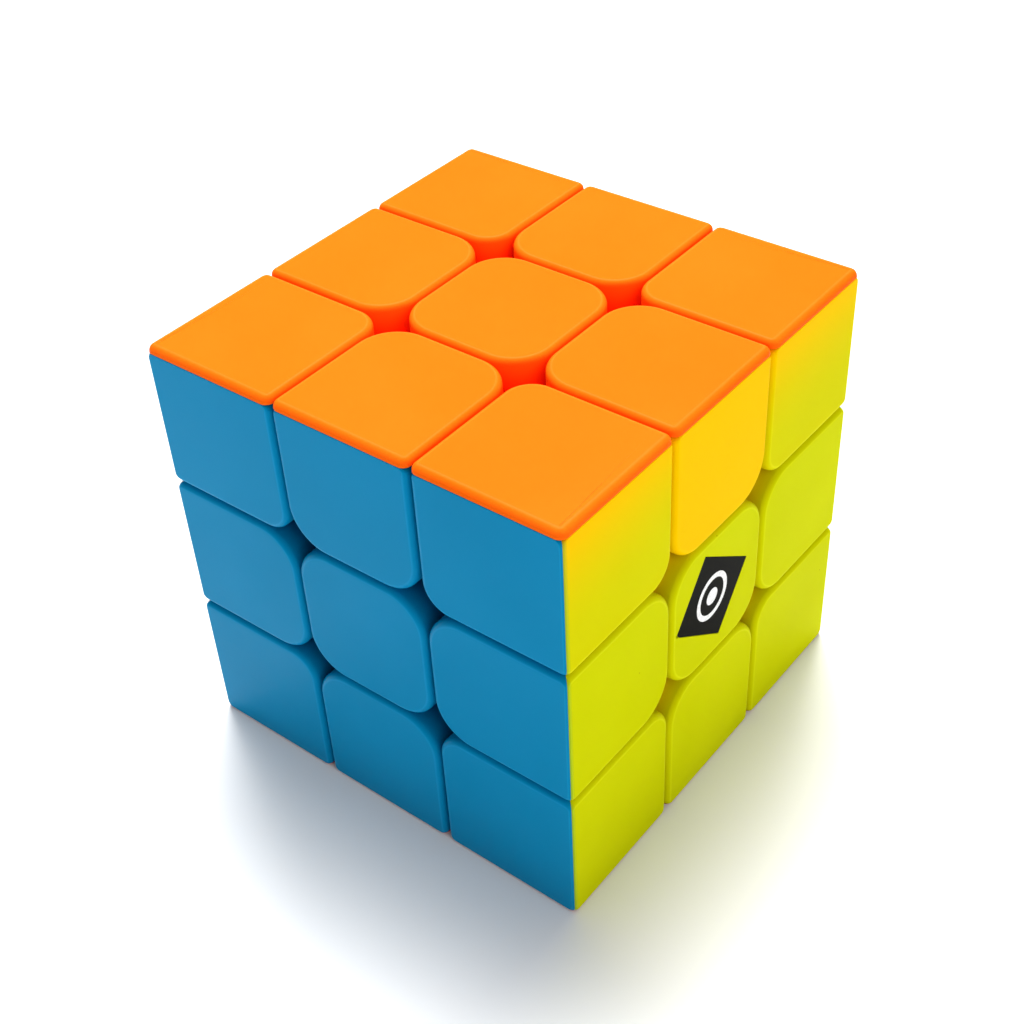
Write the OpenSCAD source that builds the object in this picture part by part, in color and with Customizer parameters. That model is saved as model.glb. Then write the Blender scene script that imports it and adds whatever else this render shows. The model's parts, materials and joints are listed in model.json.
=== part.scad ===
// A stickerless 3x3x3 twisty puzzle cube: core, screws, springs, centres, edges and corners.
// Millimetres. The origin is the middle of the core, +Z is up and -Y is the front.
// Each kind of cubie is drawn once, in the octant where x, y and z are positive,
// and turned into its places about the middle of the core.

/* [Cube] */
// Length of the cube's edge
cube_size = 56; // [54:0.5:57]
// Gap between two neighbouring cubies
seam = 0.3; // [0.2:0.05:0.4]
// Rounding along the cube's own edges
edge_round = 0.9; // [0.6:0.1:1.2]

/* [Tiles] */
// Thickness of a coloured tile
tile_t = 1.6; // [1.2:0.1:2]
// Thickness of the walls that hang from a tile
wall_t = 1.2; // [0.9:0.1:1.5]
// Corner radius of the centre tiles, and of the edge tiles next to them
big_round = 5; // [4:0.25:5.5]
// Corner radius of a corner tile where it points at the centre tile
inner_round = 3.5; // [2.5:0.25:4.5]
// Corner radius next to the cube's own edges
small_round = 1; // [0.6:0.1:1.5]
// Rounding along the seams
rim_round = 0.75; // [0.4:0.05:1.1]
// Depth of the shoulder that closes the hole where four tiles meet
shoulder_depth = 4.6; // [3:0.1:4.8]

/* [Label] */
// Length of the label on the right centre tile, along its turned side
label_len = 11; // [8:0.1:11.5]
// Width of the label, across that side
label_w = 9.5; // [7:0.1:10]
// How far the label's middle lies behind the tile's, where less than 0 is in front of it
label_back = -1.1; // [-1.5:0.1:1.5]
// How far the label's middle lies above the tile's
label_up = 0.4; // [-1:0.1:1]
// Thickness of the label, which lies flush in a shallow pocket
label_t = 0.15; // [0.1:0.05:0.3]
// How far the label is turned from the tile's sides, in degrees
label_turn = 55; // [0:1:89]

/* [Cubie feet] */
// Radius of the ball that the feet fill together
foot_r = 19.5; // [19:0.1:20]
// Inner radius of the feet
foot_inner_r = 15.2; // [14.5:0.1:16]
// Distance of the planes that part the feet from the middle of the core
foot_plane = 5; // [4.8:0.1:5.5]
// Radius up to which a foot fills its own cubie
body_r = 23; // [22.5:0.1:23.2]
// Radius of the pegs that carry the coloured shells
peg_r = 2.2; // [1.5:0.1:2.4]

/* [Core and screws] */
// Radius of the core's ball
core_r = 7; // [6:0.5:8]
// Radius of the core's six arms
arm_r = 3.4; // [3:0.1:4]
// Distance of an arm's end from the middle of the core
arm_end = 10; // [9.5:0.1:10]
// Outer radius of a centre's stem
stem_r = 4.5; // [4.4:0.05:4.6]
// Radius of the well that holds the spring
well_r = 3.6; // [3.4:0.05:3.7]
// Height of the well's floor
well_floor = 12.2; // [12:0.1:12.5]
// Radius of the screw's shank
shank_r = 1.4; // [1.2:0.1:1.5]
// Radius of the screw's head
head_r = 2.9; // [2.6:0.1:3.1]
// Height of the underside of the screw's head
head_z = 18.8; // [18:0.1:19.2]
// Mean radius of the spring's coil
coil_r = 2.4; // [2.3:0.05:2.5]
// Radius of the spring's wire
wire_r = 0.4; // [0.3:0.05:0.45]
// Turns of the spring
coil_turns = 5; // [4:1:7]

/* [Hidden] */
half = cube_size / 2;
split = cube_size / 6;                  // height of the planes that part the layers
near = split - seam / 2;                // the middle layer's side of those planes
far = split + seam / 2;                 // the outer layers' side
near_foot = foot_plane - seam / 2;
far_foot = foot_plane + seam / 2;
fit = 0.1;                              // clearance between pieces that are fixed together
shoulder_z = half - shoulder_depth;
peg_x = 14.5;                           // place of an edge's or a corner's peg under its tile
peg_end = half - tile_t - fit;
corner_peg_start = far + wall_t + 2 * fit; // clear of the walls of the other two shells
boss_h = 3;                             // depth of the sockets that the pegs enter
boss_t = 0.9;                           // wall of those sockets
cap_peg_r = 1.2;
cap_peg_x = 5.4;                        // place of the four pegs under a centre cap
washer_r = 3.2;
washer_t = 0.4;
head_h = 2;
slot_w = 0.8;                           // width and depth of the cross recess in a screw head
slot_depth = 1.1;
shank_start = 3;                        // where the screw's point ends, above the middle of the core
ring_step = 30;                         // degrees between the rings of a coil
wire_sides = 6;
over = 1;                               // how far a cutting solid runs past what it cuts
$fn = 48;

ORANGE = [1.0, 0.58, 0.16];
RED = [0.78, 0.07, 0.06];
BLUE = [0.1, 0.48, 0.72];
GREEN = [0.1, 0.62, 0.3];
YELLOW = [0.86, 0.85, 0.06];
WHITE = [0.93, 0.93, 0.92];
FOOT = [0.2, 0.2, 0.22];
STEEL = [0.72, 0.73, 0.75];
BLACK = [0.06, 0.06, 0.07];

// The side faces in the order in which turns of 90 degrees about Z bring them to +Y.
SIDES = ["back", "left", "front", "right"];
// The upright edges of the cube, in the same order of turns.
UPRIGHTS = ["back_right", "back_left", "front_left", "front_right"];
QUARTERS = [0:3];

// A place is [name, rotation from the drawn place, faces that the cubie shows].
CENTRES = concat(
    [["top", [0, 0, 0], ["top"]], ["bottom", [0, 180, 0], ["bottom"]]],
    [for (k = QUARTERS) [SIDES[(k + 3) % 4], [0, 90, 90 * k], [SIDES[(k + 3) % 4]]]]
);
EDGES = concat(
    [for (k = QUARTERS) [str("top_", SIDES[k]), [0, 0, 90 * k], ["top", SIDES[k]]]],
    [for (k = QUARTERS) [str("bottom_", SIDES[k]), [0, 180, 90 * k], ["bottom", SIDES[k]]]],
    [for (k = QUARTERS) [UPRIGHTS[k], [0, 90, 90 * k], [SIDES[(k + 3) % 4], SIDES[k]]]]
);
CORNERS = concat(
    [for (k = QUARTERS)
        [str("top_", UPRIGHTS[k]), [0, 0, 90 * k], ["top", SIDES[k], SIDES[(k + 3) % 4]]]],
    [for (k = QUARTERS)
        [str("bottom_", UPRIGHTS[k]), [0, 90, 90 * k], [SIDES[(k + 3) % 4], SIDES[k], "bottom"]]]
);

function names(kind, places) = [for (p = places) str(kind, p[0])];

function paint(face) =
    face == "top" ? ORANGE : face == "bottom" ? RED : face == "front" ? BLUE
    : face == "back" ? GREEN : face == "right" ? YELLOW : WHITE;

// ---- Building blocks ----

// What lies outside a rounded corner of radius r whose sides run along +X and +Y.
module corner_cut(r) {
    difference() {
        translate([-over, -over]) square(r + over);
        translate([r, r]) circle(r);
    }
}

// A rectangle with four corner radii, in the order x0 y0, x1 y0, x1 y1, x0 y1.
module outline(x0, x1, y0, y1, radii) {
    difference() {
        translate([x0, y0]) square([x1 - x0, y1 - y0]);
        if (radii[0] > 0) translate([x0, y0]) corner_cut(radii[0]);
        if (radii[1] > 0) translate([x1, y0]) mirror([1, 0]) corner_cut(radii[1]);
        if (radii[2] > 0) translate([x1, y1]) rotate(180) corner_cut(radii[2]);
        if (radii[3] > 0) translate([x0, y1]) mirror([0, 1]) corner_cut(radii[3]);
    }
}

// A side of a tile is either a seam or one of the cube's own edges.
function is_cube_edge(u) = abs(u) == half;
function crest(u) = is_cube_edge(u) ? edge_round : rim_round;

// The section of a tile across one direction, with its two upper edges rounded.
// Where the tile ends at one of the cube's edges, it stops at the 45 degree joint.
module section(u0, u1) {
    intersection() {
        outline(u0, u1, 0, half, [0, 0, crest(u1), crest(u0)]);
        if (is_cube_edge(u1))
            polygon([[-over, -over + fit / 2], [half + over, half + over + fit / 2],
                [-over, half + over + fit / 2]]);
    }
}

// The solid form of a cubie under one of its tiles: a tile with rounded corners over a square body.
module crown(x0, x1, y0, y1, z0, radii) {
    intersection() {
        union() {
            translate([0, 0, z0]) linear_extrude(half - z0) outline(x0, x1, y0, y1, radii);
            translate([x0, y0, z0]) cube([x1 - x0, y1 - y0, shoulder_z - z0]);
        }
        rotate([90, 0, 0]) linear_extrude(3 * cube_size, center = true) section(x0, x1);
        rotate([90, 0, 90]) linear_extrude(3 * cube_size, center = true) section(y0, y1);
    }
}

// The hollow under a tile. It has walls along the seams, and is open at the 45 degree joints.
module hollow(x0, x1, y0, y1, radii) {
    inner_x1 = is_cube_edge(x1) ? x1 + over : x1 - wall_t;
    inner_y1 = is_cube_edge(y1) ? y1 + over : y1 - wall_t;
    linear_extrude(half - tile_t)
        outline(x0 + wall_t, inner_x1, y0 + wall_t, inner_y1, [for (r = radii) max(r - wall_t, 0)]);
}

// The socket under a tile that a peg enters.
module socket(x, y, r) {
    translate([x, y, half - tile_t - boss_h])
        difference() {
            cylinder(r = r + fit + boss_t, h = boss_h + tile_t / 2);
            translate([0, 0, -over]) cylinder(r = r + fit, h = boss_h + over);
        }
}

// One coloured shell of an edge or a corner, with its tile facing +Z.
module shell(x0, x1, y0, y1, radii, peg) {
    difference() {
        crown(x0, x1, y0, y1, far, radii);
        hollow(x0, x1, y0, y1, radii);
        sphere(body_r + fit, $fn = 96);
    }
    socket(peg[0], peg[1], peg_r);
}

module ball(r) { sphere(r, $fn = 96); }

// ---- Centres ----

module centre_cap() {
    radii = [for (k = QUARTERS) big_round];
    difference() {
        crown(-near, near, -near, near, body_r + fit, radii);
        hollow(-near, near, -near, near, radii);
    }
}

module label_pocket() {
    translate([-label_up, label_back, half]) rotate(label_turn)
        cube([label_len + fit, label_w + fit, 2 * (label_t + fit / 2)], center = true);
}

module label() {
    color(BLACK) rotate([0, 90, 0]) translate([-label_up, label_back, half - label_t])
        rotate(label_turn) translate([-label_len / 2, -label_w / 2]) cube([label_len, label_w, label_t]);
}

module centre_base() {
    difference() {
        union() {
            difference() {
                translate([-near, -near, far_foot]) cube([2 * near, 2 * near, body_r - far_foot]);
                ball(foot_r + seam / 2);
            }
            translate([0, 0, arm_end + seam]) cylinder(r = stem_r, h = body_r - arm_end - seam);
            for (sx = [-1, 1], sy = [-1, 1])
                translate([sx * cap_peg_x, sy * cap_peg_x, body_r - over])
                    cylinder(r = cap_peg_r, h = peg_end - body_r + over);
        }
        translate([0, 0, well_floor]) cylinder(r = well_r, h = half);
        cylinder(r = shank_r + 2 * fit, h = half);
    }
}

// ---- Edges ----

module edge_shell() {
    shell(-near, near, far, half, [big_round, big_round, small_round, small_round], [0, peg_x]);
}

module edge_foot() {
    difference() {
        union() {
            difference() {
                intersection() {
                    ball(body_r);
                    translate([-near, far, far]) cube([2 * near, half, half]);
                }
                ball(foot_r + seam / 2);
            }
            intersection() {
                ball(foot_r - seam / 2);
                translate([-near_foot, far_foot, far_foot]) cube([2 * near_foot, half, half]);
            }
            intersection() {
                ball((foot_r + body_r) / 2);
                translate([-near_foot, far, far]) cube([2 * near_foot, half, half]);
            }
            translate([0, peg_x, peg_x]) cylinder(r = peg_r, h = peg_end - peg_x);
            translate([0, peg_x, peg_x]) rotate([-90, 0, 0]) cylinder(r = peg_r, h = peg_end - peg_x);
        }
        ball(foot_inner_r);
    }
}

// ---- Corners ----

module corner_shell() {
    shell(far, half, far, half, [inner_round, small_round, small_round, small_round],
        [peg_x, peg_x]);
}

module corner_foot() {
    difference() {
        union() {
            intersection() {
                ball(body_r);
                translate([far, far, far]) cube(half);
            }
            intersection() {
                ball(foot_r - seam / 2);
                translate([far_foot, far_foot, far_foot]) cube(half);
            }
            for (k = [0:2])
                rotate(a = 120 * k, v = [1, 1, 1]) translate([peg_x, peg_x, corner_peg_start])
                    cylinder(r = peg_r, h = peg_end - corner_peg_start);
        }
        ball(foot_inner_r);
    }
}

// ---- Core, screws and springs ----

module at_each_face() {
    for (place = CENTRES) rotate(place[1]) children();
}

module core() {
    color(FOOT) difference() {
        union() {
            sphere(core_r);
            at_each_face() cylinder(r = arm_r, h = arm_end);
        }
        at_each_face() translate([0, 0, shank_start - fit])
            cylinder(r = shank_r + fit, h = arm_end);
    }
}

module screw() {
    difference() {
        union() {
            translate([0, 0, shank_start]) cylinder(r = shank_r, h = head_z - shank_start + over);
            translate([0, 0, head_z]) cylinder(r = head_r, h = head_h);
        }
        for (turn = [0, 90])
            rotate(turn) translate([-head_r * 0.6, -slot_w / 2, head_z + head_h - slot_depth])
                cube([head_r * 1.2, slot_w, slot_depth + over]);
    }
}

module washer(z) {
    translate([0, 0, z]) difference() {
        cylinder(r = washer_r, h = washer_t);
        translate([0, 0, -over]) cylinder(r = shank_r + fit, h = washer_t + 2 * over);
    }
}

// A round wire wound up from z0 to z1, as rings of points joined by triangles.
module coil(z0, z1) {
    rings = coil_turns * 360 / ring_step;
    points = [for (i = [0:rings], j = [0:wire_sides - 1])
        let (turn = i * ring_step, around = j * 360 / wire_sides)
        let (reach = coil_r + wire_r * cos(around))
        [reach * cos(turn), reach * sin(turn), z0 + (z1 - z0) * i / rings + wire_r * sin(around)]];
    skin = [for (i = [0:rings - 1], j = [0:wire_sides - 1])
        let (a = i * wire_sides + j, b = i * wire_sides + (j + 1) % wire_sides)
        each [[a, b + wire_sides, b], [a, a + wire_sides, b + wire_sides]]];
    start = [for (j = [0:wire_sides - 1]) j];
    end = [for (j = [wire_sides - 1:-1:0]) rings * wire_sides + j];
    polyhedron(points, concat(skin, [start, end]));
}

low_washer = well_floor + fit / 2;
high_washer = head_z - washer_t - fit / 2;
module centre_screws() { color(STEEL) at_each_face() screw(); }
module spring_washers() {
    color(STEEL) at_each_face() {
        washer(low_washer);
        washer(high_washer);
    }
}
module centre_springs() {
    color(STEEL) at_each_face()
        coil(low_washer + washer_t + wire_r + fit, high_washer - wire_r - fit);
}

// ---- The pieces at their places ----

module cap_at(place) {
    color(paint(place[0])) rotate(place[1]) difference() {
        centre_cap();
        if (place[0] == "right") label_pocket();
    }
}
module base_at(place) { color(FOOT) rotate(place[1]) centre_base(); }
module edge_shells_at(place) {
    rotate(place[1]) {
        color(paint(place[2][0])) edge_shell();
        color(paint(place[2][1])) rotate(a = 180, v = [0, 1, 1]) edge_shell();
    }
}
module edge_foot_at(place) { color(FOOT) rotate(place[1]) edge_foot(); }
module corner_shells_at(place) {
    rotate(place[1]) for (k = [0:2])
        color(paint(place[2][k])) rotate(a = -120 * k, v = [1, 1, 1]) corner_shell();
}
module corner_foot_at(place) { color(FOOT) rotate(place[1]) corner_foot(); }

core();
centre_screws();
centre_springs();
spring_washers();
label();
for (p = CENTRES) cap_at(p);
for (p = CENTRES) base_at(p);
for (p = EDGES) edge_shells_at(p);
for (p = EDGES) edge_foot_at(p);
for (p = CORNERS) corner_shells_at(p);
for (p = CORNERS) corner_foot_at(p);
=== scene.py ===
import json
import math

import bmesh
import bpy
from mathutils import Matrix, Vector

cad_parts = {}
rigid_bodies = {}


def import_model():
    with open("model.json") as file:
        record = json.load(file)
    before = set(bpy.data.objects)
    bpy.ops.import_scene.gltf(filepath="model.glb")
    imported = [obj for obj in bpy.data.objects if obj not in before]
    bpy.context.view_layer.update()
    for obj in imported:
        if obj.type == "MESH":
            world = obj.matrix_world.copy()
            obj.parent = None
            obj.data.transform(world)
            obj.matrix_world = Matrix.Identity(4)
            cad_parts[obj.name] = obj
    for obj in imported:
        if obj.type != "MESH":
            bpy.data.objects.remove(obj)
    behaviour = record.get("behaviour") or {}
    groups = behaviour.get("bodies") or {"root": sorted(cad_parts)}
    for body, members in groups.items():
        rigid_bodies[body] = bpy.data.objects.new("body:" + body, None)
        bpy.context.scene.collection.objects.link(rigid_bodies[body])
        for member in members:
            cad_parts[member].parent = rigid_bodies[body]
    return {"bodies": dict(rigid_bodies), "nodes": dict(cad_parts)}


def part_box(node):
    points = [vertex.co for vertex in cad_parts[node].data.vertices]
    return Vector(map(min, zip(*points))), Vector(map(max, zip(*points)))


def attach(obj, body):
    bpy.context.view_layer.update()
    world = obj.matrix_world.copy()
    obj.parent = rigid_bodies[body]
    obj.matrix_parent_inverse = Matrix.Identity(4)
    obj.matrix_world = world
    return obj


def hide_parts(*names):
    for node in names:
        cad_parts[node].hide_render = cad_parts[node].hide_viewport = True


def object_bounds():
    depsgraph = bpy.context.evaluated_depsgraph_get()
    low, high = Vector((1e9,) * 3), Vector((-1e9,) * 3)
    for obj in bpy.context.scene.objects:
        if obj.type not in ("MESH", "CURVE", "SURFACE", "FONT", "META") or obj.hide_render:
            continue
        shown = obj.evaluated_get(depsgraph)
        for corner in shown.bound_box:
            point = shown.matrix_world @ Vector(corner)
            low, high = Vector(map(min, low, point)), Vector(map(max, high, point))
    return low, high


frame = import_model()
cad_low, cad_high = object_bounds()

# The coloured shells, the springs and the label of a 3x3x3 twisty puzzle cube, built round its
# packed core, screws, centre bases and feet, with a material for every piece.
# Metres. The origin is the middle of the core, +Z is up and -Y is the front.

MM = 0.001

# ---- Sizes that the frame gives ----
HALF = cad_high.z
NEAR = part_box("centre_cap_top")[1].x                # the middle layer's side of a seam
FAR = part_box("corner_shells_top_back_right")[0].x   # the outer layers' side of it
SPLIT = (NEAR + FAR) / 2
CAP_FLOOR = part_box("centre_cap_top")[0].z
LABEL_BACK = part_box("label")[0].x

# ---- Sizes of the shells ----
TILE_T = 1.6 * MM
WALL_T = 1.2 * MM
BALL_R = 23.1 * MM          # inner radius of the edge and corner shells, clear of the feet
SHOULDER = HALF - 4.6 * MM  # where the rounded corners of a tile end
SHOULDER_FALL = 0.7         # slope of the shoulder below them
JOINT_GAP = 0.02 * MM       # between the shells of one cubie
HAIRLINE = 0.06 * MM        # under the rim of the top shells
STEP = 1 * MM               # spacing of the points along a tile's sides
LIP = 0.15 * MM             # flat band that keeps a tile's shading flat up to its rim
SHARP_ANGLE = math.radians(38)
SAME_PLACE = 0.0005 * MM    # points closer than this are one

# What a tile meets on a side, with the radius of its rim there: a seam between cubies, or another
# face at one of the cube's edges. The top shells lie over the side shells, and the others meet at
# 45 degrees.
RIM = {"seam": 0.75 * MM, "over": 0.9 * MM, "under": 0.12 * MM, "mitre": 0.5 * MM}
BIG_ROUND = 5 * MM          # tile corners that point at a hole, on centres and edges
INNER_ROUND = 3.5 * MM      # and on corners
SMALL_ROUND = 1 * MM        # tile corners at the cube's edges
RIM_STEPS = 9
BIG_STEPS = 18
SMALL_STEPS = 8
HALVINGS = 40               # in the search for the place where a rim meets a joint

# ---- Label ----
LABEL_LEN = 11 * MM
LABEL_W = 9.5 * MM
LABEL_MIDDLE = Vector((-1.1 * MM, 0.4 * MM))    # from the tile's middle, towards the back and up
LABEL_TURN = math.radians(-35)                  # of its length, from the back up
LABEL_FIT = 0.05 * MM
LABEL_TOP = HALF - 0.02 * MM
RING_R = 3.1 * MM
RING_W = 0.7 * MM
DOT_R = 1.1 * MM
INK_T = 0.02 * MM
CIRCLE_STEPS = 96

# ---- Springs ----
COIL_R = 2.4 * MM
WIRE_R = 0.4 * MM
COIL_TURNS = 5
STEPS_PER_TURN = 36
WIRE_SIDES = 12
WASHER_TOP = 12.65 * MM     # of the lower washers
COIL_GAP = 0.1 * MM         # between a coil and its washers

# Outward normal, and the directions across and up that make a right-handed frame with it.
X, Y, Z = Vector((1, 0, 0)), Vector((0, 1, 0)), Vector((0, 0, 1))
FACES = {
    "top": (Z, X, Y),
    "bottom": (-Z, X, -Y),
    "front": (-Y, X, Z),
    "back": (Y, -X, Z),
    "right": (X, Y, Z),
    "left": (-X, -Y, Z),
}
PAINT = {"top": "orange", "bottom": "red", "front": "blue", "back": "green", "right": "yellow",
         "left": "white"}
# The sides of a tile anticlockwise, each as the axis that it crosses and the sign of its normal.
SIDES = [(1, -1), (0, 1), (1, 1), (0, -1)]


# ---- The form of a tile ----

def face_towards(direction):
    return next(name for name, axes in FACES.items() if (axes[0] - direction).length < 0.01)


def joint_kind(face, other):
    if face == "top":
        return "over"
    return "under" if other == "top" else "mitre"


def joint_height(kind, reach):
    """Height of the joint between two shells of a cubie, at that distance towards the other face."""
    mitre = reach + JOINT_GAP / 2
    if kind == "over" and reach > HALF - TILE_T - JOINT_GAP:
        return HALF - RIM["over"]
    return min(mitre, HALF - TILE_T) if kind == "under" else mitre


class Tile:
    """A coloured shell, seen along its face's normal. Column and row are -1, 0 or 1."""

    def __init__(self, face, column, row):
        self.face = face
        self.place = (column, row)
        self.normal, across, up = FACES[face]
        self.axes = (across, up)
        self.kinds = {}
        self.limits = {}
        for axis, sign in SIDES:
            self.kinds[axis, sign] = self.side_kind(axis, sign)
            self.limits[axis, sign] = self.side_limit(axis, sign)

    def side_kind(self, axis, sign):
        if self.place[axis] != sign:
            return "seam"
        return joint_kind(self.face, face_towards(sign * self.axes[axis]))

    def side_limit(self, axis, sign):
        if self.place[axis] == 0:
            return sign * NEAR
        if self.place[axis] != sign:
            return -sign * FAR
        covered = RIM["over"] + HAIRLINE if self.kinds[axis, sign] == "under" else 0
        return sign * (HALF - covered)

    def faces(self):
        """The faces that the tile's cubie shows."""
        found = {self.face}
        for axis in (0, 1):
            if self.place[axis]:
                found.add(face_towards(self.place[axis] * self.axes[axis]))
        return found

    def is_centre(self):
        return self.place == (0, 0)

    def corner_round(self, side, next_side):
        if self.kinds[side] != "seam" or self.kinds[next_side] != "seam":
            return SMALL_ROUND
        return INNER_ROUND if 0 not in self.place else BIG_ROUND

    def floor_height(self, point):
        """Height under that point where the shell ends, at the feet or at the next face's shell."""
        if self.is_centre():
            return CAP_FLOOR
        height = math.sqrt(max(BALL_R ** 2 - point.length_squared, 0))
        for (axis, sign), kind in self.kinds.items():
            if kind != "seam":
                height = max(height, joint_height(kind, sign * point[axis]))
        return height

    def inner_point(self, point):
        """The nearest point of the hollow under the tile."""
        inner = point.copy()
        for (axis, sign), kind in self.kinds.items():
            if kind == "seam":
                limit = sign * self.limits[axis, sign] - WALL_T
            else:
                limit = HALF - TILE_T - (JOINT_GAP if kind == "over" else 0)
            inner[axis] = sign * min(sign * inner[axis], limit)
        return inner

    def stations(self):
        """Points round the tile, anticlockwise, as (point, outward normal, rim radius, round, corner)."""
        found = []
        for k, side in enumerate(SIDES):
            before, after = SIDES[k - 1], SIDES[(k + 1) % 4]
            normal = side_normal(side)
            start = self.corner(before, side) + self.corner_round(before, side) * side_normal(after)
            end = self.corner(side, after) - self.corner_round(side, after) * side_normal(after)
            for share in self.shares(start, end, before, after):
                found.append((start.lerp(end, share), normal, RIM[self.kinds[side]], 0, None))
            found += self.arc(side, after)
        return found

    def corner(self, side, next_side):
        point = Vector((0, 0))
        for axis, sign in (side, next_side):
            point[axis] = self.limits[axis, sign]
        return point

    def shares(self, start, end, before, after):
        """Where the points along a straight side lie, with one on each side of every step in a joint."""
        length = (end - start).length
        count = max(2, round(length / STEP))
        shares = {k / count for k in range(1, count)}
        for (axis, sign), origin, way in ((before, start, -1), (after, end, 1)):
            if self.kinds[axis, sign] == "seam":
                continue
            for reach in (HALF - TILE_T - 1.5 * JOINT_GAP, HALF - TILE_T - 0.5 * JOINT_GAP):
                back = sign * origin[axis] - reach
                if 0 < back < length:
                    shares.add(back / length if way < 0 else 1 - back / length)
        return sorted(shares)

    def arc(self, side, after):
        radius = self.corner_round(side, after)
        corner = self.corner(side, after)
        first, last = side_normal(side), side_normal(after)
        middle = corner - radius * (first + last)
        big = radius > SMALL_ROUND
        steps = BIG_STEPS if big else SMALL_STEPS
        found = []
        for k in range(steps + 1):
            angle = math.pi / 2 * k / steps
            normal = math.cos(angle) * first + math.sin(angle) * last
            share = smooth(k / steps)
            rim = (1 - share) * RIM[self.kinds[side]] + share * RIM[self.kinds[after]]
            found.append((middle + radius * normal, normal, rim, radius if big else 0, middle))
        return found

    def column(self, point, normal, rim, radius, middle):
        """The shell's section at a station, from its flat top over the rim to the hollow's ceiling.
        Each entry is (point, height, how far round the rim)."""
        def on_rim(angle):
            return point - normal * rim * (1 - math.sin(angle)), HALF - rim * (1 - math.cos(angle))

        last = last_angle(lambda angle: on_rim(angle)[1] - self.floor_height(on_rim(angle)[0]))
        found = [(point - normal * (rim + LIP), HALF, 0.0)]
        for k in range(RIM_STEPS + 1):
            angle = last * k / RIM_STEPS
            found.append((*on_rim(angle), math.sin(angle)))
        foot, height = on_rim(last)
        square = foot
        if radius:
            square = middle + normal * radius / max(abs(normal.x), abs(normal.y))
        fall = SHOULDER_FALL * (square - foot).length
        shoulder = min(height, max(SHOULDER, self.floor_height(foot)))
        found.append((foot, shoulder, 1.0))
        found.append((square, max(shoulder - fall, self.floor_height(square)), 1.0))
        found.append((square, min(shoulder, self.floor_height(square)), 1.0))
        inner = point - normal * WALL_T if radius else self.inner_point(point)
        ceiling = HALF - TILE_T
        rebate = self.floor_height(inner + 0.5 * JOINT_GAP * normal) if not radius else 0
        base = max(self.floor_height(inner), rebate)
        # Only the rims of the top shells reach out past their hollow, so their undersides lie above it.
        if "over" not in self.kinds.values():
            base = min(base, ceiling)
        found.append((inner, base, 1.0))
        found.append((inner, ceiling, 1.0))
        return found


def depth_share(height):
    """How far down a wall that height is, from 0 under the rim to 1 at the shoulder and below."""
    wall_top = HALF - RIM["seam"]
    return min(1.0, max(0.0, (wall_top - height) / (wall_top - SHOULDER)))


def side_normal(side):
    normal = Vector((0, 0))
    normal[side[0]] = side[1]
    return normal


def smooth(share):
    return share * share * (3 - 2 * share)


def last_angle(clearance):
    """The angle at which a rim meets the joint under it, or a right angle if it doesn't."""
    low, high = 0.0, math.pi / 2
    if clearance(high) > -2 * SAME_PLACE:
        return high
    for _ in range(HALVINGS):
        middle = (low + high) / 2
        if clearance(middle) > 0:
            low = middle
        else:
            high = middle
    return low


# ---- Meshes ----

def new_object(name, bm):
    mesh = bpy.data.meshes.new(name)
    bm.to_mesh(mesh)
    bm.free()
    for polygon in mesh.polygons:
        polygon.use_smooth = True
    mesh.set_sharp_from_angle(angle=SHARP_ANGLE)
    made = bpy.data.objects.new(name, mesh)
    bpy.context.scene.collection.objects.link(made)
    return made


def skin(bm, loops, close_first=True, close_last=True):
    """Faces between loops of vertices that run the same way round."""
    count = len(loops[0])
    for upper, lower in zip(loops, loops[1:]):
        for i in range(count):
            j = (i + 1) % count
            bm.faces.new((upper[i], lower[i], lower[j], upper[j]))
    if close_first:
        bm.faces.new(loops[0])
    if close_last:
        bm.faces.new(list(reversed(loops[-1])))


def place_in_face(face, point, height):
    normal, across, up = FACES[face]
    return across * point.x + up * point.y + normal * height


def label_outline(points, margin):
    """Those points moved along their rays from the label's middle onto a rectangle that lies that
    far outside the label's own."""
    half_length, half_width = LABEL_LEN / 2 + margin, LABEL_W / 2 + margin
    along = Vector((math.cos(LABEL_TURN), math.sin(LABEL_TURN)))
    across = Vector((-along.y, along.x))
    rays = [(point - LABEL_MIDDLE).normalized() for point in points]
    outline = []
    for ray in rays:
        steepness = max(abs(ray.dot(along)) / half_length, abs(ray.dot(across)) / half_width)
        outline.append(LABEL_MIDDLE + ray / steepness)
    for length_sign, width_sign in ((1, 1), (-1, 1), (-1, -1), (1, -1)):
        corner = length_sign * half_length * along + width_sign * half_width * across
        nearest = max(range(len(rays)), key=lambda i: rays[i].dot(corner))
        outline[nearest] = LABEL_MIDDLE + corner
    return outline


def tile_mesh(tile, name, with_pocket):
    columns = [tile.column(*station) for station in tile.stations()]
    rings = [list(ring) for ring in zip(*columns)]
    if with_pocket:
        outline = [entry[0] for entry in rings[0]]
        pocket = label_outline(outline, LABEL_FIT)
        for height in (HALF, LABEL_BACK):
            rings.insert(0, [(point, height, 0.0) for point in pocket])
    bm = bmesh.new()
    # The rim share and the wall depth also place the plastics' painted highlight and painted shade.
    rim_layer = bm.verts.layers.float.new("rim")
    wall_layer = bm.verts.layers.float.new("wall")
    loops = []
    for ring in rings:
        loop = []
        for point, height, rim in ring:
            vertex = bm.verts.new(place_in_face(tile.face, point, height))
            vertex[rim_layer] = rim
            vertex[wall_layer] = depth_share(height)
            loop.append(vertex)
        loops.append(loop)
    skin(bm, loops)
    bmesh.ops.remove_doubles(bm, verts=bm.verts, dist=SAME_PLACE)
    return new_object(name, bm)


# ---- Materials ----

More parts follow.
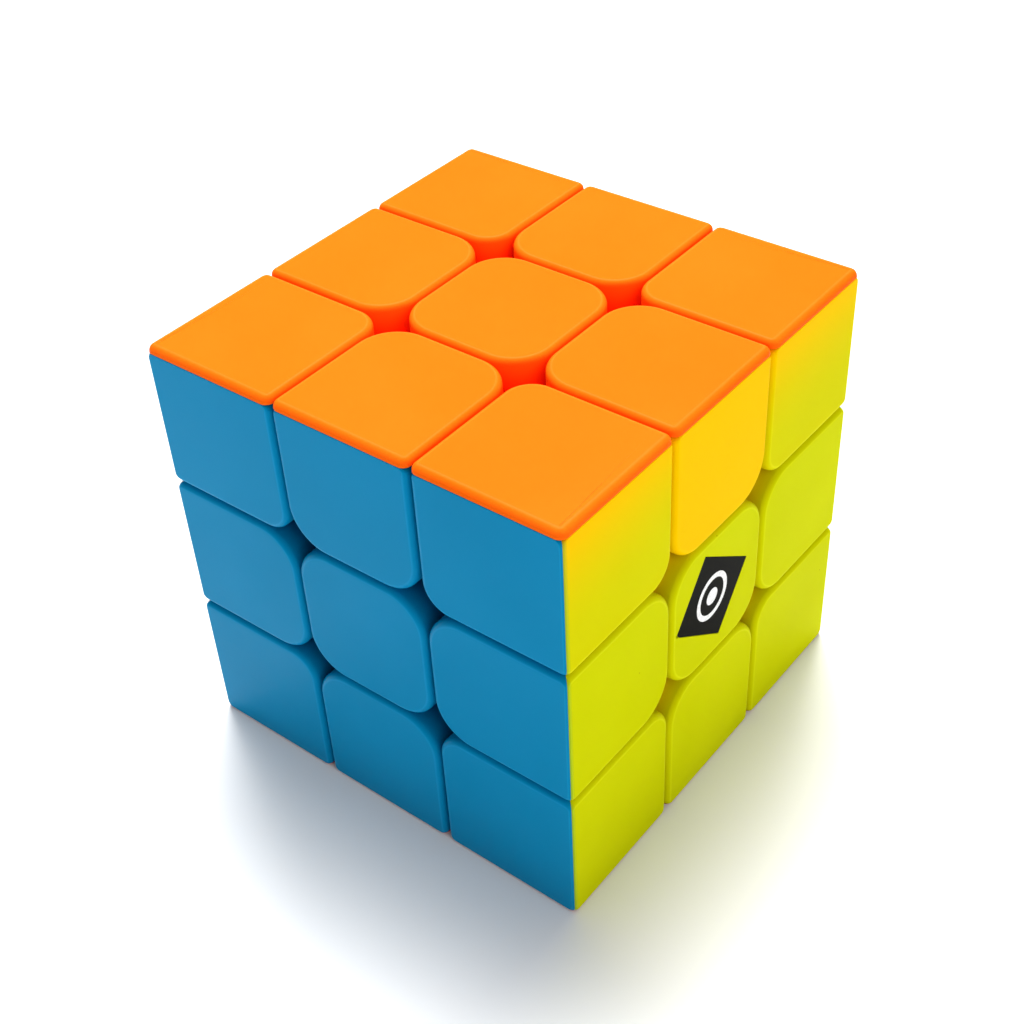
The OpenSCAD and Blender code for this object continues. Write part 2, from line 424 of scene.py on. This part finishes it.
CALM, BUSY = 0.3, 0.7       # most of a noise lies between these
SCRATCH_SHAPE = (1, 14, 14)  # how much finer the noise is across a scratch
CLOUD = 0.025               # how far a plastic's colour drifts over a tile
GLOSS_TINT = 0.8            # how far the saturated plastics tint their own soft reflections
PAINTED_HIGHLIGHT_SHARE = 0.22         # how strong the painted highlight, a pale line round a tile's rim, is
RIM_SHADE = 0.12            # painted shade: how far a rim is darkened towards the shade colour of the deeper places
WALL_SHADE = 0.9            # painted shade: how far a wall is darkened towards it
GOLD = (0.95, 0.505, 0.0)   # painted glow of orange light on the yellow shells next to the orange ones
GOLD_REACH = 15 * MM
GOLD_IN_MIDDLE = 0.78       # share of it all over the middle piece
GOLD_IN_LAYER = 0.12        # and at least, all over the top layer
LEAF = (0.1, 0.33, 0.03)    # painted reflection of the blue shells on the yellow ones next to them
LEAF_REACH = 0.7 * MM
LEAF_SHARE = 0.75


def new_material(name, colour, roughness):
    material = bpy.data.materials.new(name)
    material.use_nodes = True
    material.diffuse_color = (*colour, 1)
    tree = material.node_tree
    shader = tree.nodes["Principled BSDF"]
    shader.inputs["Base Color"].default_value = (*colour, 1)
    shader.inputs["Roughness"].default_value = roughness
    return material, tree, shader


def add(tree, kind, inputs=None, **settings):
    """A node with settings on itself and values or links on its inputs."""
    node = tree.nodes.new(kind)
    for key, value in settings.items():
        setattr(node, key, value)
    for key, value in (inputs or {}).items():
        if isinstance(value, bpy.types.NodeSocket):
            tree.links.new(value, node.inputs[key])
        else:
            node.inputs[key].default_value = value
    return node


def place_of(tree):
    return add(tree, "ShaderNodeTexCoord").outputs["Object"]


def noise(tree, size, detail=2.0, roughness=0.5, vector=None):
    """Noise whose blobs are about that many metres across, from 0 to 1."""
    vector = vector or place_of(tree)
    inputs = {"Vector": vector, "Scale": 1 / size, "Detail": detail, "Roughness": roughness}
    return add(tree, "ShaderNodeTexNoise", inputs).outputs["Fac"]


def spread(tree, value, low, high, to_low=0.0, to_high=1.0):
    node = add(tree, "ShaderNodeMapRange",
               {"Value": value, "From Min": low, "From Max": high, "To Min": to_low, "To Max": to_high})
    return node.outputs["Result"]


def mixed(tree, share, first, second):
    """The first colour, moved by that share to the second."""
    node = tree.nodes.new("ShaderNodeMix")
    node.data_type = "RGBA"
    for key, value in ((0, share), (6, first), (7, second)):
        if isinstance(value, bpy.types.NodeSocket):
            tree.links.new(value, node.inputs[key])
        else:
            node.inputs[key].default_value = value if key == 0 else (*value, 1)
    return node.outputs[2]


def math_node(tree, operation, first, second=0.0):
    return add(tree, "ShaderNodeMath", {0: first, 1: second}, operation=operation).outputs[0]


def attribute(tree, name):
    return add(tree, "ShaderNodeAttribute", attribute_name=name).outputs["Fac"]


def bumped(tree, shader, layers):
    """Adds up bump layers of (height from 0 to 1, depth in metres)."""
    normal = None
    for height, depth in layers:
        node = add(tree, "ShaderNodeBump", {"Height": height, "Strength": 1.0, "Distance": depth})
        if normal is not None:
            tree.links.new(normal, node.inputs["Normal"])
        normal = node.outputs["Normal"]
    tree.links.new(normal, shader.inputs["Normal"])


def scratches(tree, size):
    """Fine hair scratches in several directions, 1 on a scratch."""
    marks = None
    for k, turn in enumerate((0.35, 1.4, 2.5)):
        rotation = (turn, 0.7 * turn, 1.3 * turn)
        turned = add(tree, "ShaderNodeMapping",
                     {"Vector": place_of(tree), "Rotation": rotation, "Scale": SCRATCH_SHAPE})
        lines = noise(tree, size, detail=1.0, vector=turned.outputs["Vector"])
        line = spread(tree, lines, 0.70 + 0.01 * k, 0.74 + 0.01 * k)
        marks = line if marks is None else math_node(tree, "MAXIMUM", marks, line)
    return marks


def specks(tree, spacing, size, share):
    """Small dots in that share of the cells of a loose grid, 1 inside a dot."""
    cells = add(tree, "ShaderNodeTexVoronoi", {"Vector": place_of(tree), "Scale": 1 / spacing})
    draw = add(tree, "ShaderNodeSeparateColor", {"Color": cells.outputs["Color"]}).outputs[0]
    chosen = spread(tree, draw, 1 - share, 1 - share + 0.001)
    inside = spread(tree, cells.outputs["Distance"], size / spacing, 0.6 * size / spacing)
    return math_node(tree, "MULTIPLY", chosen, inside)


def orange_glow_share(tree):
    """How much painted glow of orange light tints the yellow shells of the top layer: most at the cube's
    edge, and all over the middle piece."""
    parts = add(tree, "ShaderNodeSeparateXYZ", {0: place_of(tree)}).outputs
    in_top = math_node(tree, "GREATER_THAN", parts[2], SPLIT)
    in_middle = math_node(tree, "LESS_THAN", math_node(tree, "ABSOLUTE", parts[1]), SPLIT)
    fade = math_node(tree, "POWER", spread(tree, parts[2], HALF - GOLD_REACH, HALF), 2.0)
    in_layer = spread(tree, fade, 0.0, 1.0, GOLD_IN_LAYER, 1.0)
    in_piece = math_node(tree, "MULTIPLY", in_middle, GOLD_IN_MIDDLE)
    return math_node(tree, "MULTIPLY", in_top, math_node(tree, "MAXIMUM", in_layer, in_piece))


def blue_reflection_share(tree):
    """How far a painted reflection of the blue front shells tints the yellow ones, next to the edge they
    share.
    """
    along = add(tree, "ShaderNodeSeparateXYZ", {0: place_of(tree)}).outputs[1]
    return spread(tree, along, -HALF + LEAF_REACH, -HALF, 0.0, LEAF_SHARE)


def dye_and_painted_light(tree, rim, colour, shade_and_glow, tints):
    """Colour that is faintly cloudy, with painted shade that darkens it over the rims and down the walls,
    a painted highlight as a thin pale line where the rims start, painted glow and reflection tints from
    the neighbouring faces, and a few dark specks."""
    light = tuple((1 + CLOUD) * c + 0.001 for c in colour)
    dark = tuple((1 - CLOUD) * c for c in colour)
    # Colour of the painted highlight line round the rims.
    rubbed = tuple(min(1, 1.5 * c + 0.03) for c in colour)
    speck = tuple(0.25 * c for c in shade_and_glow)
    tone = mixed(tree, spread(tree, noise(tree, 16 * MM), 0.35, 0.65), dark, light)
    # Painted highlight: a thin pale line where the rims start.
    line = math_node(tree, "MULTIPLY", spread(tree, rim, 0.02, 0.12), spread(tree, rim, 0.45, 0.25))
    tone = mixed(tree, math_node(tree, "MULTIPLY", line, PAINTED_HIGHLIGHT_SHARE), tone, rubbed)
    # Painted shade over the rims, darker towards the seams.
    tone = mixed(tree, spread(tree, rim, 0.35, 1.0, 0.0, RIM_SHADE), tone, shade_and_glow)
    # Painted orange glow and painted blue reflection from the neighbouring faces.
    for share, tint in tints:
        tone = mixed(tree, share(tree), tone, tint)
    # Painted shade down the walls of the holes and seams, deepest at the shoulder.
    tone = mixed(tree, math_node(tree, "MULTIPLY", attribute(tree, "wall"), WALL_SHADE), tone, shade_and_glow)
    return mixed(tree, specks(tree, spacing=4 * MM, size=0.08 * MM, share=0.04), tone, speck)


def shell_plastic(name, colour, shade_and_glow, ior, roughness, tints=()):
    """Satin moulded plastic, dyed through, with hair scratches and a slightly uneven gloss that is
    higher on the rims."""
    material, tree, shader = new_material(name, colour, roughness)
    rim = attribute(tree, "rim")
    worn = scratches(tree, 3 * MM)
    tree.links.new(dye_and_painted_light(tree, rim, colour, shade_and_glow, tints), shader.inputs["Base Color"])
    rough = spread(tree, noise(tree, 5 * MM, detail=4.0), CALM, BUSY, roughness - 0.03, roughness + 0.04)
    rough = math_node(tree, "ADD", rough, math_node(tree, "MULTIPLY", worn, 0.08))
    rough = math_node(tree, "SUBTRACT", rough, math_node(tree, "MULTIPLY", rim, 0.05))
    tree.links.new(rough, shader.inputs["Roughness"])
    gloss = [1 - GLOSS_TINT * (1 - c / max(colour)) for c in colour]
    shader.inputs["IOR"].default_value = ior
    shader.inputs["Specular Tint"].default_value = (*gloss, 1)
    shader.inputs["Subsurface Weight"].default_value = 0.15
    shader.inputs["Subsurface Radius"].default_value = (1.0, 0.6, 0.4)
    shader.inputs["Subsurface Scale"].default_value = 0.6 * MM
    waves, grain = noise(tree, 9 * MM), noise(tree, 0.12 * MM)
    bumped(tree, shader, [(waves, 0.005 * MM), (grain, 0.0008 * MM), (worn, -0.001 * MM)])
    return material


def inner_plastic():
    """Matt dark moulded plastic with a fine spark-eroded grain, rubbed where it slides."""
    colour = (0.035, 0.036, 0.042)
    material, tree, shader = new_material("inner_plastic", colour, 0.5)
    cloud = noise(tree, 4 * MM, detail=4.0)
    grain = noise(tree, 0.2 * MM, detail=3.0)
    rubbed = spread(tree, noise(tree, 2.5 * MM, detail=5.0, roughness=0.7), 0.52, 0.66)
    tone = mixed(tree, cloud, colour, (0.055, 0.056, 0.064))
    tone = mixed(tree, math_node(tree, "MULTIPLY", rubbed, 0.5), tone, (0.09, 0.09, 0.1))
    tree.links.new(tone, shader.inputs["Base Color"])
    tree.links.new(spread(tree, rubbed, 0, 1, 0.56, 0.34), shader.inputs["Roughness"])
    bumped(tree, shader, [(grain, 0.008 * MM), (scratches(tree, 4 * MM), -0.003 * MM)])
    return material


def metal(name, colour, roughness, line_size):
    """Plated or drawn steel with fine lines, cloudy plating and small dull spots."""
    material, tree, shader = new_material(name, colour, roughness)
    lines = add(tree, "ShaderNodeMapping", {"Vector": place_of(tree), "Scale": (1, 1, 9)})
    drawn = noise(tree, line_size, detail=3.0, vector=lines.outputs["Vector"])
    plating = noise(tree, 1.5 * MM, detail=4.0)
    dull = specks(tree, spacing=1.2 * MM, size=0.1 * MM, share=0.2)
    tone = mixed(tree, plating, tuple(0.85 * c for c in colour), colour)
    tone = mixed(tree, dull, tone, tuple(0.45 * c for c in colour))
    tree.links.new(tone, shader.inputs["Base Color"])
    rough = spread(tree, drawn, CALM, BUSY, roughness - 0.08, roughness + 0.1)
    rough = math_node(tree, "ADD", rough, math_node(tree, "MULTIPLY", dull, 0.3))
    tree.links.new(rough, shader.inputs["Roughness"])
    shader.inputs["Metallic"].default_value = 1.0
    bumped(tree, shader, [(drawn, 0.004 * MM)])
    return material


def film(name, colour, roughness, ior):
    """Printed film with slight ink mottling and hair scratches."""
    material, tree, shader = new_material(name, colour, roughness)
    mottle = noise(tree, 0.5 * MM, detail=4.0)
    dark = tuple(0.8 * c for c in colour)
    light = tuple(min(1, 1.15 * c + 0.002) for c in colour)
    tree.links.new(mixed(tree, spread(tree, mottle, CALM, BUSY), dark, light), shader.inputs["Base Color"])
    worn = scratches(tree, 2 * MM)
    rough = spread(tree, mottle, CALM, BUSY, roughness - 0.03, roughness + 0.06)
    rough = math_node(tree, "ADD", rough, math_node(tree, "MULTIPLY", worn, 0.15))
    tree.links.new(rough, shader.inputs["Roughness"])
    shader.inputs["IOR"].default_value = ior
    bumped(tree, shader, [(noise(tree, 1.5 * MM), 0.004 * MM), (mottle, 0.0008 * MM), (worn, -0.001 * MM)])
    return material


def floor_material():
    material, tree, shader = new_material("pale_floor", (0.86, 0.86, 0.86), 0.6)
    tone = mixed(tree, noise(tree, 0.3, detail=3.0), (0.85, 0.85, 0.85), (0.88, 0.88, 0.88))
    tree.links.new(tone, shader.inputs["Base Color"])
    bumped(tree, shader, [(noise(tree, 2 * MM), 0.01 * MM)])
    return material


# Each plastic's linear colours on the face and the painted shade of its rims and walls (for yellow, a
# painted orange glow), its IOR and roughness, and the painted glow and reflection tints from its
# neighbours. The IOR is low because the photographed tiles reflect very little.
PLASTICS = {
    "orange": shell_plastic("orange_plastic", (1.0, 0.146, 0.004), (1.0, 0.028, 0.0), 1.07, 0.33),
    "red": shell_plastic("red_plastic", (0.5, 0.004, 0.005), (0.28, 0.001, 0.002), 1.08, 0.38),
    "blue": shell_plastic("blue_plastic", (0.0, 0.23, 0.455), (0.0, 0.08, 0.22), 1.11, 0.34),
    "green": shell_plastic("green_plastic", (0.003, 0.24, 0.055), (0.001, 0.12, 0.025), 1.13, 0.36),
    "yellow": shell_plastic("yellow_plastic", (0.57, 0.6, 0.0), (0.86, 0.5, 0.0), 1.03, 0.34,
                            [(orange_glow_share, GOLD), (blue_reflection_share, LEAF)]),
    "white": shell_plastic("white_plastic", (0.55, 0.55, 0.54), (0.42, 0.415, 0.4), 1.25, 0.36),
}
INNER = inner_plastic()
STEEL = metal("zinc_plated_steel", (0.62, 0.63, 0.65), 0.3, 0.3 * MM)
SPRING_STEEL = metal("drawn_spring_steel", (0.5, 0.5, 0.52), 0.26, 0.15 * MM)
BLACK_FILM = film("label_black_film", (0.004, 0.004, 0.003), 0.36, 1.05)
WHITE_INK = film("label_white_ink", (0.86, 0.86, 0.86), 0.4, 1.3)


# ---- Building the pieces ----

def finish_piece(piece, body, node, material):
    piece.data.materials.append(material)
    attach(piece, body)
    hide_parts(node)


def body_showing(faces):
    """The body whose name holds exactly those faces."""
    return next(body for body in frame["bodies"]
                if body != "core" and set(body.split("_")[1:]) == faces)


def node_of_shells(body):
    kind, place = body.split("_", 1)
    return ("centre_cap_" if kind == "centre" else kind + "_shells_") + place


def build_shell(face, column, row):
    tile = Tile(face, column, row)
    body = body_showing(tile.faces())
    colour = PAINT[face]
    has_label = face == "right" and tile.is_centre()
    piece = tile_mesh(tile, f"{body}_{colour}_shell", has_label)
    finish_piece(piece, body, node_of_shells(body), PLASTICS[colour])


def circle_on_label(radius):
    points = []
    for k in range(CIRCLE_STEPS):
        angle = 2 * math.pi * k / CIRCLE_STEPS
        points.append(LABEL_MIDDLE + radius * Vector((math.cos(angle), math.sin(angle))))
    return points


def label_loop(bm, points, height):
    return [bm.verts.new(place_in_face("right", point, height)) for point in points]


def label_film():
    bm = bmesh.new()
    loops = []
    edge = 0.03 * MM
    for inset, height in ((edge, LABEL_TOP), (0, LABEL_TOP - edge), (0, LABEL_BACK + INK_T / 2)):
        loops.append(label_loop(bm, label_outline(circle_on_label(RING_R), -inset), height))
    skin(bm, loops)
    return new_object("label_film", bm)


def printed_ring(name, outer, inner):
    """A thin ring of ink on the label, or a disc where inner is 0."""
    bm = bmesh.new()
    low, high = LABEL_TOP - INK_T / 2, LABEL_TOP + INK_T / 2
    outer_loops = [label_loop(bm, circle_on_label(outer), height) for height in (high, low)]
    if inner:
        inner_loops = [label_loop(bm, circle_on_label(inner), height) for height in (low, high)]
        skin(bm, outer_loops + inner_loops + outer_loops[:1], False, False)
    else:
        skin(bm, outer_loops)
    return new_object(name, bm)


def build_label():
    finish_piece(label_film(), "centre_right", "label", BLACK_FILM)
    for name, outer, inner in (("label_ring", RING_R, RING_R - RING_W), ("label_dot", DOT_R, 0)):
        finish_piece(printed_ring(name, outer, inner), "centre_right", "label", WHITE_INK)


def build_springs():
    """Six springs of round wire, each wound between its two washers and cut square at its ends."""
    bm = bmesh.new()
    start = WASHER_TOP + COIL_GAP + WIRE_R
    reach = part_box("centre_springs")[1].z - WIRE_R
    rings = COIL_TURNS * STEPS_PER_TURN
    for face in FACES:
        loops = []
        for k in range(rings + 1):
            turn = 2 * math.pi * COIL_TURNS * k / rings
            height = start + (reach - start) * k / rings
            outward = Vector((math.cos(turn), math.sin(turn)))
            loop = []
            for j in range(WIRE_SIDES):
                around = -2 * math.pi * j / WIRE_SIDES
                point = outward * (COIL_R + WIRE_R * math.cos(around))
                loop.append(bm.verts.new(place_in_face(face, point, height + WIRE_R * math.sin(around))))
            loops.append(loop)
        skin(bm, loops)
    bmesh.ops.recalc_face_normals(bm, faces=bm.faces)
    piece = new_object("centre_spring_coils", bm)
    finish_piece(piece, "core", "centre_springs", SPRING_STEEL)


def paint_cad_nodes():
    """Materials of the CAD nodes that stay: the core, the centre bases, the feet, screws and washers."""
    for name, node in frame["nodes"].items():
        if node.hide_render:
            continue
        material = STEEL if name in ("centre_screws", "spring_washers") else INNER
        node.data.materials.clear()
        node.data.materials.append(material)


for face in FACES:
    for column in (-1, 0, 1):
        for row in (-1, 0, 1):
            build_shell(face, column, row)
build_label()
build_springs()
paint_cad_nodes()


# ---- Floor, light and camera ----

FLOOR_REACH = 3.0
WORLD_STRENGTH = 0.38


def build_floor():
    bm = bmesh.new()
    corners = [(-FLOOR_REACH, -FLOOR_REACH), (FLOOR_REACH, -FLOOR_REACH),
               (FLOOR_REACH, FLOOR_REACH), (-FLOOR_REACH, FLOOR_REACH)]
    bm.faces.new([bm.verts.new((x, y, cad_low.z)) for x, y in corners])
    floor = new_object("floor", bm)
    floor.data.materials.append(floor_material())


def aim(thing, place, target):
    thing.location = place
    thing.rotation_euler = (Vector(target) - Vector(place)).to_track_quat("-Z", "Y").to_euler()


def softbox(name, place, side, power):
    """A square white lamp that faces the cube."""
    data = bpy.data.lights.new(name, "AREA")
    data.shape = "SQUARE"
    data.size = side
    data.energy = power
    lamp = bpy.data.objects.new(name, data)
    bpy.context.scene.collection.objects.link(lamp)
    aim(lamp, place, (0, 0, 0))


def build_light():
    """A large soft lamp high behind the cube, whose light the pale floor throws back on the sides,
    and a weak one high on the right."""
    world = bpy.data.worlds.new("studio")
    bpy.context.scene.world = world
    world.use_nodes = True
    background = world.node_tree.nodes["Background"]
    background.inputs["Color"].default_value = (1, 1, 1, 1)
    background.inputs["Strength"].default_value = WORLD_STRENGTH
    softbox("back_softbox", place=(-0.36, 0.44, 1.14), side=0.7, power=32)
    softbox("right_fill", place=(1.2, -0.3, 0.9), side=1.0, power=7)


def build_camera():
    """A camera at the photograph's angle: round from the front towards the right, above the
    horizon, and rolled about its own axis."""
    azimuth, elevation, roll = (math.radians(a) for a in (40.0, 39.3, -3.45))
    distance = 188 * MM
    aside, above = -0.87 * MM, -0.98 * MM
    back = Vector((math.sin(azimuth) * math.cos(elevation), -math.cos(azimuth) * math.cos(elevation),
                   math.sin(elevation)))
    right = (-back).cross(Z).normalized()
    up = right.cross(-back)
    rolled_right = math.cos(roll) * right + math.sin(roll) * up
    rolled_up = math.cos(roll) * up - math.sin(roll) * right
    data = bpy.data.cameras.new("camera")
    data.sensor_width = 36
    data.lens = 54.7
    data.clip_start, data.clip_end = 0.01, 20
    camera = bpy.data.objects.new("camera", data)
    bpy.context.scene.collection.objects.link(camera)
    place = back * distance + rolled_right * aside + rolled_up * above
    turn = Matrix((rolled_right, rolled_up, back)).transposed()
    camera.matrix_world = Matrix.Translation(place) @ turn.to_4x4()
    bpy.context.scene.camera = camera


build_floor()
build_light()
build_camera()
view = bpy.context.scene.view_settings
view.view_transform = "Standard"
view.look = "None"
